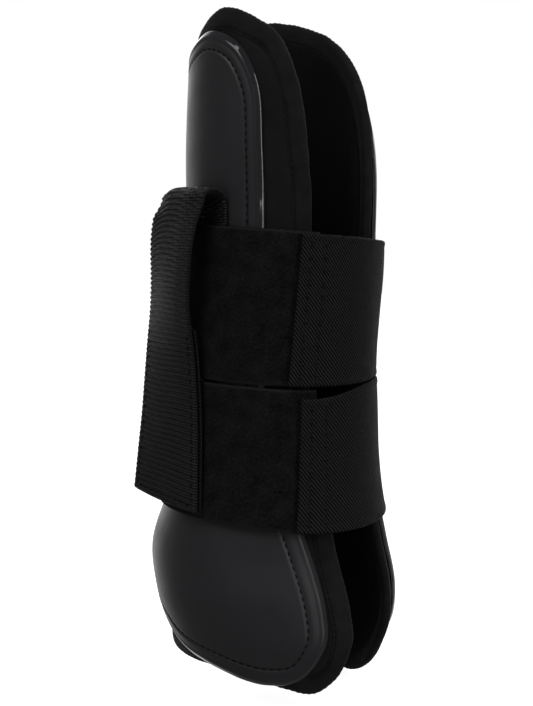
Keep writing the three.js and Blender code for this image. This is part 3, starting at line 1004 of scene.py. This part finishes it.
def stitches_between(name, start, end, place, body, slot, **settings):
    """A row of stitches: place(station) gives a point and its normal, from start to end."""
    line = [place(mix(start, end, k / ROW_STEPS)) for k in range(ROW_STEPS + 1)]
    return stitch_row(name, line, body, slot, **settings)


# ---- Straps ----

CLOTH_RADIUS = 43  # turns an angle into a length along a strap
PER_MM = 1 / (CLOTH_RADIUS * RAD)  # degrees in a millimetre along a strap
HEM_LENGTH = 11
SEAM_STITCHES = (4, 10)  # how far the two rows are from the elastic's end
SEAM_PITCH = 5.0
ANCHOR_STITCHES = (266, 279.5)  # the angles of the rows at the sewn end
SWING_BEND = (262, 246)  # angles between which an elastic bends at its sewn end
PEEL_BEND = (178, 164)  # and where its free end peels off
STAND_OFF_MIDDLE = 230  # where an elastic's top edge stands off the leg most
STAND_OFF_REACH = 24


def strap_edges(strap, elastic=False):
    low, high = profile(strap["low"]), profile(strap["high"])
    drop = strap["drop"] if elastic else 0
    return low, lambda angle: high(angle) - drop * (1 - fade(angle, ELASTIC_NARROW, ELASTIC_LEVEL))


def bend_ends(angles, height):
    return {key: round_point(angle, height, ON_SHELL) * MM for key, angle in zip(("start", "end"), angles)}


def ripple(x, y):
    """Gentle unevenness of soft cloth, about -1 to 1."""
    return (math.sin(x * 0.21 + 1.3 * math.sin(y * 0.09)) + math.sin(y * 0.17 + x * 0.06 + 2)
            + 0.6 * math.sin(x * 0.43 - y * 0.31)) / 2.6


def build_strap(name, strap):
    low, high = strap_edges(strap)
    elastic_edges = strap_edges(strap, elastic=True)
    width = strap["high"][0][1] - strap["low"][0][1]
    middle = (low(200) + high(200)) / 2

    def on_strap(edges, inner, lean=0, stand_off=0):
        def place(angle, across, depth):
            up = across / width + 0.5
            angle += lean * (up - 0.5) * (STRAP_MIDDLE - angle) / (STRAP_MIDDLE - strap["seam"])
            height = mix(edges[0](angle), edges[1](angle), up)
            loose = stand_off * fade(up, 0.1, 0.9) * bell(angle, STAND_OFF_MIDDLE, STAND_OFF_REACH)
            return round_point(angle, height, inner(angle) + depth + loose)
        return place

    back_place = on_strap(elastic_edges, elastic_inner, 0, strap["stand_off"])
    front_place = on_strap(elastic_edges, elastic_inner, strap["lean"], strap["stand_off"])

    def cloth(angle, across):
        return angle / PER_MM, across

    # The elastic has a ridge inside each selvedge, and is hemmed at its end.
    def elastic_lift(angle, across):
        from_edge = width / 2 - abs(across)
        ridge = 0.16 * bell(from_edge, 1.6, 0.9) - 0.1 * bell(from_edge, 3.3, 0.7)
        from_end = (angle - strap["seam"]) / PER_MM
        hem = 0.45 * (1 - fade(from_end, HEM_LENGTH - 0.8, HEM_LENGTH + 0.6))
        dips = sum(bell(from_end, row, 0.8) for row in SEAM_STITCHES)
        pinch = 0.35 + 0.2 * math.cos(2 * math.pi * across / SEAM_PITCH)
        return ridge + hem - dips * pinch + 0.1 * ripple(from_end, across)

    section = strip_section(width, ELASTIC_THICKNESS, 96, 0.8)
    back = strip(f"{name}_elastic_back", (STRAP_MIDDLE, ANCHOR_END), 0.9, section, back_place, None,
                 "elastic", ELASTIC, cloth, free=(False, True), edge=1.2, lift=elastic_lift)
    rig.replaces(back, f"{name}_elastic_anchor")
    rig.blend(back, "boot", f"{name}_strap", **bend_ends(SWING_BEND, middle))
    front = strip(f"{name}_elastic_front", (strap["seam"], STRAP_MIDDLE), 0.45, section, front_place, None,
                  "elastic", ELASTIC, cloth, free=(True, False), edge=1.5, lift=elastic_lift)
    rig.replaces(front, f"{name}_elastic", f"{name}_elastic_end")
    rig.blend(front, f"{name}_strap", f"{name}_strap_end", **bend_ends(PEEL_BEND, middle))

    rows = []
    for n, from_end in enumerate(SEAM_STITCHES):
        def on_row(across, from_end=from_end):
            angle = strap["seam"] + from_end * PER_MM
            return front_place(angle, across, ELASTIC_THICKNESS + 0.1), normal_at(angle)
        row = stitches_between(f"{name}_seam_stitches_{n + 1}", -width / 2 + 1, width / 2 - 1, on_row, None,
                               "elastic", pitch=SEAM_PITCH, length=3.6, radius=0.36, wander=0.25)
        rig.blend(row, f"{name}_strap", f"{name}_strap_end", **bend_ends(PEEL_BEND, middle))
        rows.append(row)
    far_rows = []
    for n, angle in enumerate(ANCHOR_STITCHES):
        def on_far_row(across, angle=angle):
            return back_place(angle, across, ELASTIC_THICKNESS), normal_at(angle)
        far_rows.append(stitches_between(f"{name}_anchor_stitches_{n + 1}", -width / 2 + 2, width / 2 - 2,
                                         on_far_row, "boot", "elastic", pitch=3.2, length=2.4, radius=0.32,
                                         wander=0.12))
    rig.sheet(back, flat=(width * MM, (ANCHOR_END - STRAP_MIDDLE) / PER_MM * MM), held="stretched",
             rests_on=["outer_shell"], with_pieces=far_rows)
    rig.sheet(front, flat=(width * MM, (STRAP_MIDDLE - strap["seam"]) / PER_MM * MM), held="stretched",
             rests_on=[f"{name}_tab"], with_pieces=rows)

    def pile(angle, across):
        from_edge = min(width / 2 - abs(across), 3)
        return 0.16 * ripple(angle * 1.3, across * 1.1) - 0.1 * (1 - fade(from_edge, 0.2, 2.2))

    # Marks the strip's edges, which the loop pile look paints paler as painted sheen.
    def painted_sheen_edge(angle, across):
        return 1 - fade(width / 2 - abs(across), 0.4, 1.3)

    tab = strip(f"{name}_velour_tab", (TAB_END, TAB_ROOT), 0.9, strip_section(width, TAB_THICKNESS, 96, 0.9),
                on_strap((low, high), lambda angle: TAB_INNER), f"{name}_strap_end", "loop_pile", LOOP,
                cloth, edge=1.2, lift=pile, tag=painted_sheen_edge)
    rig.replaces(tab, f"{name}_tab")
    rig.sheet(tab, flat=(width * MM, (TAB_ROOT - TAB_END) / PER_MM * MM), held="laid",
             rests_on=[f"{name}_hook_patch"])


PATCH_SPAN = (57, 100)
PATCH_SEWING = 1.8  # how far inside its edge a patch is sewn


def build_patch(name):
    low, high = PATCHES[name]
    width = high - low

    def place(angle, across, depth):
        return round_point(angle, (low + high) / 2 + across, ON_SHELL + depth)

    section = strip_section(width, PATCH_THICKNESS, 48, 0.5)
    patch = strip(f"{name}_hook_tape", PATCH_SPAN, 0.9, section, place, "boot", "hook_tape", HOOK,
                  lambda angle, across: (angle / PER_MM, across), edge=0.8)
    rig.replaces(patch, f"{name}_hook_patch")
    start, end = PATCH_SPAN[0] + PATCH_SEWING * PER_MM, PATCH_SPAN[1] - PATCH_SEWING * PER_MM
    side = width / 2 - PATCH_SEWING
    corners = [(start, -side), (end, -side), (end, side), (start, side)]
    line = []
    for (a, b), (c, d) in zip(corners, corners[1:] + corners[:1]):
        for k in range(30):
            angle, across = mix(a, c, k / 30), mix(b, d, k / 30)
            line.append((place(angle, across, PATCH_THICKNESS), normal_at(angle)))
    stitches = stitch_row(f"{name}_patch_stitches", line, "boot", "hook_tape", pitch=3, length=2.2,
                          closed=True)
    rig.sheet(patch, flat=(width * MM, (PATCH_SPAN[1] - PATCH_SPAN[0]) / PER_MM * MM), held="stretched",
             rests_on=["outer_shell"], with_pieces=[stitches])


# ---- The lock flap ----

# The webbing's middle at a height: its distance from the leg's axis, its angle, and its facing.
FLAP_DISTANCE = profile([
    (80, 54.9), (98, 52.7), (117, 50.8), (141, 50), (164, 51.3), (186, 51.1), (203, 49.1),
])
FLAP_ANGLE = profile([(80, 82.6), (117, 77), (141, 75), (162, 78.5), (203, 86)])
FLAP_FACING = profile([(80, 103), (117, 96), (141, 90), (162, 82.5), (186, 82), (203, 86)])
FLAP_TILT = profile([(80, 0.2), (150, 0.03), (203, 0)])
FLAP_CROWN = 110  # the radius of the webbing's curve from edge to edge
HINGE_RADIUS = lining_radius(FLAP_HINGE_HEIGHT)
FLAP_ORIGIN = Vector((0, backset(FLAP_HINGE_HEIGHT), 0))
FOLD_START = HINGE_RADIUS + ON_SHELL + GAP / 2 + WEBBING_THICKNESS / 2
FOLD_END = FLAP_DISTANCE(FLAP_HINGE_HEIGHT)
FOLD_RADIUS = (FOLD_END - FOLD_START) / 2
RIB_PITCH = 2.15
RIB_HEIGHT = 0.7
RIB_BOW = 4.5  # how much further down a rib's ends are than its middle, at the fold
BEAD = 0.5  # how far the ribs' ends stand out at the edges
FLAP_THREAD = {"pitch": 3.4, "length": 2.3, "radius": 0.3, "wander": 0.15}
SELVEDGE = 0.7
SELVEDGE_BRAID = 8.0  # the width of the close braid inside the front edge
BELLY = 1.8  # how far the back edge stands out just below the fold, about which height, and its reach
BELLY_HEIGHT = 191
BELLY_REACH = 17
SHOULDER = 2.6  # how far the back edge droops at the fold
SHOULDER_DEPTH = 8  # how far below the fold the droop reaches
ANCHOR_LENGTH = FLAP_HINGE_HEIGHT - ANCHOR_BOTTOM
FOLD_LENGTH = math.pi * FOLD_RADIUS
BEND_END = ANCHOR_LENGTH + FOLD_LENGTH  # how far along the webbing the flap begins


def shoulder(across):
    """How far the webbing's back edge droops at the fold, in millimetres."""
    return SHOULDER * fade(-across, 4, HALF_WEBBING) ** 1.3 + 0.7 * fade(across, 8, HALF_WEBBING)


def belly(across, height):
    """How far the webbing's back edge stands out below the fold, in millimetres."""
    return BELLY * bell(height, BELLY_HEIGHT, BELLY_REACH) * fade(-across, -6, HALF_WEBBING)


def flap_point(across, height, offset):
    facing = FLAP_FACING(height)
    middle = normal_at(FLAP_ANGLE(height)) * FLAP_DISTANCE(height) + FLAP_ORIGIN
    droop = shoulder(across) * fade(height, FLAP_HINGE_HEIGHT - SHOULDER_DEPTH, FLAP_HINGE_HEIGHT)
    outwards = normal_at(facing) * (offset - across ** 2 / 2 / FLAP_CROWN - droop + belly(across, height))
    upwards = Vector((0, 0, height - FLAP_TILT(height) * across))
    return middle + tangent_at(facing) * across + outwards + upwards


def fold_point(turn, across, offset):
    """turn is 0 where the flap begins and 1 where the sewn end does; offset is from the middle layer."""
    reach = FOLD_RADIUS + offset
    lean = (shoulder(across) - belly(across, FLAP_HINGE_HEIGHT)) * (1 - turn)
    sag = across ** 2 / 2 / mix(FLAP_CROWN, FOLD_START, turn) + lean
    centre = normal_at(FLAP_HINGE_ANGLE) * ((FOLD_START + FOLD_END) / 2) + FLAP_ORIGIN
    rise = reach * (1 - 0.12 * shoulder(across))
    centre += Vector((0, 0, FLAP_HINGE_HEIGHT + math.sin(math.pi * turn) * rise))
    return (centre + tangent_at(FLAP_HINGE_ANGLE) * across
            + normal_at(FLAP_HINGE_ANGLE) * (math.cos(math.pi * turn) * reach - sag))


def rib(along, across):
    """A webbing rib's height, 0 to 1, a distance along the webbing. The ribs bow and shift a little."""
    bow = RIB_BOW * (1 - fade(along, BEND_END, BEND_END + 90)) * (2 * across / WEBBING_WIDTH) ** 2
    shifted = along - bow + 0.35 * math.sin(across * 0.21 + along * 0.05)
    shifted += 0.08 * math.sin(across * 0.9 + along * 1.7)
    ridge = 0.5 + 0.5 * math.cos(2 * math.pi * shifted / RIB_PITCH)
    from_edge = HALF_WEBBING - abs(across)
    braid = 1 - fade(HALF_WEBBING - across, SELVEDGE_BRAID - 2, SELVEDGE_BRAID + 2)
    knots = 0.5 + 0.5 * math.cos(2 * math.pi * (across / 2.1 + 0.5 * round(shifted / RIB_PITCH)))
    return mix(ridge, ridge * (0.35 + 0.65 * knots), braid) * fade(from_edge, SELVEDGE * 0.2, SELVEDGE)


def rib_strength(along):
    """Ribs stand up most where the webbing bends, and settle down the flap."""
    settled = fade(along, BEND_END + 18, BEND_END + 75)
    return mix(1, 0.5, settled) * mix(0.3, 1, fade(along, 14, ANCHOR_LENGTH))


def webbing_lift(along, across):
    return RIB_HEIGHT * rib_strength(along) * (rib(along, across) - 0.5)


def webbing_strip(name, span, step, place, arc, body, free):
    """A length of webbing. arc(station) is how far along the webbing a station is."""
    section = strip_section(WEBBING_WIDTH, WEBBING_THICKNESS, 72, 0.8)

    def beaded(station, across, depth):
        inner = HALF_WEBBING - 1.2
        edge = fade(abs(across), inner, HALF_WEBBING)
        ends = rib(arc(station), math.copysign(inner, across)) - 0.5
        return place(station, across + math.copysign(BEAD * edge * ends, across), depth)

    return strip(name, span, step, section, beaded, body, "webbing", WEBBING,
                 lambda station, across: (across, arc(station)), free=free, edge=0.8,
                 lift=lambda station, across: webbing_lift(arc(station), across),
                 # rim holds the rib height, which the webbing look paints as light on the tops and shade in the
                 # grooves.
                 tag=lambda station, across: rib(arc(station), across) * rib_strength(arc(station)))


def build_flap():
    along_anchor = PER_MM * CLOTH_RADIUS / (HINGE_RADIUS + ON_SHELL)

    def anchor_place(height, across, depth):
        return round_point(FLAP_HINGE_ANGLE + across * along_anchor, height, ON_SHELL + depth)

    anchor = webbing_strip("webbing_anchor", (ANCHOR_BOTTOM, FLAP_HINGE_HEIGHT), 0.35, anchor_place,
                           lambda height: height - ANCHOR_BOTTOM, "boot", (True, False))
    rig.replaces(anchor, "flap_anchor")
    half = WEBBING_THICKNESS / 2
    fold = webbing_strip("webbing_fold", (1, 0), 0.025,
                         lambda turn, across, depth: fold_point(turn, across, depth - half),
                         lambda turn: ANCHOR_LENGTH + (1 - turn) * FOLD_LENGTH, None, (False, False))
    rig.replaces(fold, "flap_fold")
    lifted = FLAP_ORIGIN + Vector((0, 0, FLAP_HINGE_HEIGHT))
    ends = [(normal_at(FLAP_HINGE_ANGLE) * distance + lifted) * MM for distance in (FOLD_START, FOLD_END)]
    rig.blend(fold, "boot", "flap", start=ends[0], end=ends[1])

    flap = webbing_strip("webbing_flap", (FLAP_HINGE_HEIGHT, FLAP_BOTTOM), 0.35,
                         lambda height, across, depth: flap_point(across, height, depth - half),
                         lambda height: BEND_END + FLAP_HINGE_HEIGHT - height, "flap", (False, True))
    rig.replaces(flap, "lock_flap")

    tape_section = strip_section(HOOK_TAPE_WIDTH, HOOK_TAPE_THICKNESS, 48, 0.4)
    tape = strip("flap_hook_tape", (FLAP_BOTTOM - 1, HOOK_TAPE_TOP), 0.8, tape_section,
                 lambda height, across, depth: flap_point(
                     across, height, depth - half - GAP - HOOK_TAPE_THICKNESS),
                 "flap", "hook_tape", HOOK, lambda height, across: (across, height), edge=0.7)
    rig.replaces(tape, "lock_flap_hook_tape")

    def sewn(height, across):
        return flap_point(across, height, half), normal_at(FLAP_FACING(height))

    rows = []
    for side, label in ((-1, "left"), (1, "right")):
        across = side * (HALF_WEBBING - 2.4)
        rows.append(stitches_between(
            f"flap_stitches_{label}", HOOK_TAPE_TOP - 2, FLAP_BOTTOM + 2,
            lambda height, across=across: sewn(height, across), "flap", "webbing", **FLAP_THREAD))
    reach = HALF_WEBBING - 2.6
    rows.append(stitches_between("flap_stitches_bottom", -reach, reach,
                                 lambda across: sewn(FLAP_BOTTOM + 2.5, across), "flap", "webbing",
                                 **FLAP_THREAD))

    anchor_rows = []
    for side, label in ((-1, "left"), (1, "right")):
        across = side * (HALF_WEBBING - 0.9)
        anchor_rows.append(stitches_between(
            f"anchor_stitches_{label}", ANCHOR_BOTTOM + 1, FLAP_HINGE_HEIGHT - 1.5,
            lambda height, across=across: (anchor_place(height, across, WEBBING_THICKNESS),
                                           normal_at(FLAP_HINGE_ANGLE + across * along_anchor)),
            "boot", "webbing", pitch=2.6, length=2.5, radius=0.42, wander=0.3))
    width = WEBBING_WIDTH * MM
    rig.sheet(anchor, flat=(width, ANCHOR_LENGTH * MM), held="stretched", rests_on=["outer_shell"],
             with_pieces=anchor_rows)
    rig.sheet(fold, flat=(FOLD_LENGTH * MM, width), held="folded", rests_on=["flap_anchor"])
    flap_length = FLAP_HINGE_HEIGHT - FLAP_BOTTOM
    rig.sheet(flap, flat=(width, flap_length * MM), held="laid", rests_on=["upper_tab", "lower_tab"],
             with_pieces=rows)
    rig.sheet(tape, flat=(HOOK_TAPE_WIDTH * MM, (HOOK_TAPE_TOP - FLAP_BOTTOM + 1) * MM), held="stretched",
             rests_on=["lock_flap"])


build_shell()
build_lining()
build_pad()
for side_name, side_strap in STRAPS.items():
    build_strap(side_name, side_strap)
    build_patch(side_name)
build_flap()


# ---- Camera, floor and light ----

VIEW_AZIMUTH = -35
VIEW_ELEVATION = 4
VIEW_DISTANCE = 0.65
LENS = 79.4
FLOOR_REACH = 4
FLOOR_LEVEL = -0.0005
TARGET = Vector((-0.0056, 0.004, 0.14))
STUDIO_RANGE = (-1.0, -0.5)  # from the side behind the object to the camera's side
STUDIO_LEVELS = (2.5, 0.19)
FLOOR_GLOW = 0.88


def direction(azimuth, elevation):
    """The way from the object to a place seen from it. Azimuth 0 is in front (-Y), and 90 is +X."""
    a, e = azimuth * RAD, elevation * RAD
    return Vector((math.sin(a) * math.cos(e), -math.cos(a) * math.cos(e), math.sin(e)))


def aim(piece, azimuth, elevation, distance):
    piece.location = TARGET + direction(azimuth, elevation) * distance
    piece.rotation_euler = (-direction(azimuth, elevation)).to_track_quat("-Z", "Y").to_euler()
    bpy.context.collection.objects.link(piece)


def add_camera():
    data = bpy.data.cameras.new("camera")
    data.sensor_width = 36
    data.lens = LENS
    camera = bpy.data.objects.new("camera", data)
    aim(camera, VIEW_AZIMUTH, VIEW_ELEVATION, VIEW_DISTANCE)
    bpy.context.scene.camera = camera


def add_softbox(name, azimuth, elevation, distance, size, power):
    data = bpy.data.lights.new(name, "AREA")
    data.shape = "RECTANGLE"
    data.size, data.size_y = size
    data.energy = power
    aim(bpy.data.objects.new(name, data), azimuth, elevation, distance)


def add_floor():
    mesh = bpy.data.meshes.new("floor")
    far = FLOOR_REACH
    corners = [(x, y, FLOOR_LEVEL) for x, y in ((-far, -far), (far, -far), (far, far), (-far, far))]
    mesh.from_pydata(corners, [], [(0, 1, 2, 3)])
    look = Look("pale_floor", grey(0.92), 0.9, Emission_Color=(1, 1, 1, 1), Emission_Strength=FLOOR_GLOW)
    mesh.materials.append(look.material)
    floor = bpy.data.objects.new("floor", mesh)
    bpy.context.collection.objects.link(floor)
    floor.visible_diffuse = False
    floor.visible_glossy = False
    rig.stage(floor)


def add_world():
    """A white studio that is bright behind the object and dim on the camera's side."""
    world = bpy.data.worlds.new("studio")
    world.use_nodes = True
    tree = world.node_tree
    way = add_node(tree, "ShaderNodeTexCoord").outputs["Generated"]
    facing = add_node(tree, "ShaderNodeVectorMath", {0: way, 1: direction(VIEW_AZIMUTH, 0)},
                      operation="DOT_PRODUCT")
    inputs = dict(zip(("From Min", "From Max", "To Min", "To Max"), STUDIO_RANGE + STUDIO_LEVELS))
    inputs["Value"] = facing.outputs["Value"]
    level = add_node(tree, "ShaderNodeMapRange", inputs, interpolation_type="SMOOTHSTEP")
    seen = add_node(tree, "ShaderNodeLightPath").outputs["Is Camera Ray"]
    strength = add_node(tree, "ShaderNodeMix", {"Factor": seen, "A": level.outputs["Result"], "B": 1.0})
    background = tree.nodes["Background"]
    background.inputs["Color"].default_value = (1, 1, 1, 1)
    tree.links.new(strength.outputs["Result"], background.inputs["Strength"])
    bpy.context.scene.world = world


add_camera()
add_world()
add_floor()
add_softbox("side_strip", 17, 6, 1.1, (0.2, 1.4), 4.2)
add_softbox("key", -70, 50, 1.4, (0.7, 0.7), 5)
bpy.context.scene.view_settings.view_transform = "Standard"

VISUAL_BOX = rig.bounds()
with open("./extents.json", "w") as out:
    json.dump({"cad": [list(corner) for corner in CAD_BOX], "visual": [list(corner) for corner in VISUAL_BOX]}, out)
